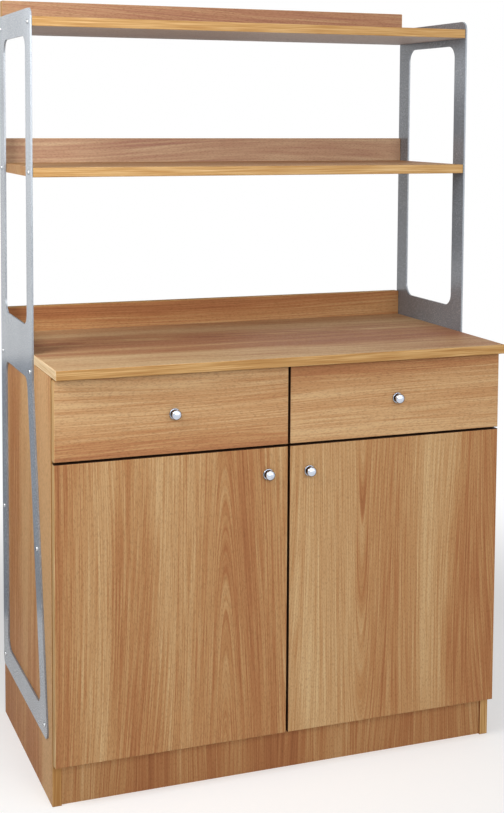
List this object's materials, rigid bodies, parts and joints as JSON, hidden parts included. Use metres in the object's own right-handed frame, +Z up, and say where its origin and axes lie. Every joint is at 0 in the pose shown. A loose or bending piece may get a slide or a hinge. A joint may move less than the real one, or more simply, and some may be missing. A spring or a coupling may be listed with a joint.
{
  "type": "service station",
  "caption": "Waiter's service station: sideboard with drawers over doors, a worktop, and open shelves with upstands carried by metal side frames with slanted front legs.",
  "frame": {"origin": "on the floor under the middle of the worktop", "axes": "+X to the right seen from the front, +Y to the back, +Z up; doors and drawers face -Y"},
  "size_m": [1.014, 0.539, 1.647],
  "materials": {
    "upright_decor": "plum wood laminate, grain upright",
    "level_decor": "plum wood laminate, grain level",
    "drawer_board": "pale laminate",
    "silver_coat": "silver powder coat",
    "satin_chrome": "satin chrome",
    "bright_steel": "zinc plated"
  },
  "bodies": {
    "carcass": {"back_panel": "upright_decor", "bottom_panel": "level_decor", "centre_partition": "upright_decor", "front_stretcher": "level_decor", "left_cabinet_rails": "bright_steel", "left_frame_screws": "bright_steel", "left_hinge_arms": "bright_steel", "left_hinge_plates": "bright_steel", "left_inner_shelf": "level_decor", "left_shelf_pins": "bright_steel", "left_side_frame": "silver_coat", "left_side_panel": "upright_decor", "middle_shelf": "level_decor", "middle_shelf_upstand": "level_decor", "plinth": "level_decor", "rear_stretcher": "level_decor", "right_cabinet_rails": "bright_steel", "right_frame_screws": "bright_steel", "right_hinge_arms": "bright_steel", "right_hinge_plates": "bright_steel", "right_inner_shelf": "level_decor", "right_shelf_pins": "bright_steel", "right_side_frame": "silver_coat", "right_side_panel": "upright_decor", "top_shelf": "level_decor", "top_shelf_upstand": "level_decor", "worktop": "level_decor", "worktop_screws": "bright_steel", "worktop_upstand": "level_decor"},
    "left_drawer": {"left_drawer_back": "drawer_board", "left_drawer_bottom": "drawer_board", "left_drawer_front": "level_decor", "left_drawer_inner_front": "drawer_board", "left_drawer_inner_side": "drawer_board", "left_drawer_knob": "satin_chrome", "left_drawer_knob_screw": "bright_steel", "left_drawer_outer_side": "drawer_board", "left_drawer_rails": "bright_steel"},
    "left_middle_rails": {"left_middle_rails": "bright_steel"},
    "left_door": {"left_door": "upright_decor", "left_door_knob": "satin_chrome", "left_door_knob_screw": "bright_steel", "left_hinge_cups": "bright_steel", "left_hinge_pins": "bright_steel"},
    "right_drawer": {"right_drawer_back": "drawer_board", "right_drawer_bottom": "drawer_board", "right_drawer_front": "level_decor", "right_drawer_inner_front": "drawer_board", "right_drawer_inner_side": "drawer_board", "right_drawer_knob": "satin_chrome", "right_drawer_knob_screw": "bright_steel", "right_drawer_outer_side": "drawer_board", "right_drawer_rails": "bright_steel"},
    "right_middle_rails": {"right_middle_rails": "bright_steel"},
    "right_door": {"right_door": "upright_decor", "right_door_knob": "satin_chrome", "right_door_knob_screw": "bright_steel", "right_hinge_cups": "bright_steel", "right_hinge_pins": "bright_steel"}
  },
  "joints": [
    {"name": "left_drawer_slide", "type": "slide", "parent": "carcass", "child": "left_drawer", "axis": [0, -1, 0], "range_m": [0, 0.4]},
    {"name": "left_rail_slide", "type": "slide", "parent": "carcass", "child": "left_middle_rails", "axis": [0, -1, 0], "range_m": [0, 0.2]},
    {"name": "left_door_hinge", "type": "hinge", "parent": "carcass", "child": "left_door", "pos_m": [-0.4918, -0.2355, 0.3975], "axis": [0, 0, -1], "range_deg": [0, 95]},
    {"name": "right_drawer_slide", "type": "slide", "parent": "carcass", "child": "right_drawer", "axis": [0, -1, 0], "range_m": [0, 0.4]},
    {"name": "right_rail_slide", "type": "slide", "parent": "carcass", "child": "right_middle_rails", "axis": [0, -1, 0], "range_m": [0, 0.2]},
    {"name": "right_door_hinge", "type": "hinge", "parent": "carcass", "child": "right_door", "pos_m": [0.4918, -0.2355, 0.3975], "axis": [0, 0, 1], "range_deg": [0, 95]}
  ],
  "couplings": [
    {"joint": "left_rail_slide", "follows": "left_drawer_slide", "ratio": 0.5},
    {"joint": "right_rail_slide", "follows": "right_drawer_slide", "ratio": 0.5}
  ]
}
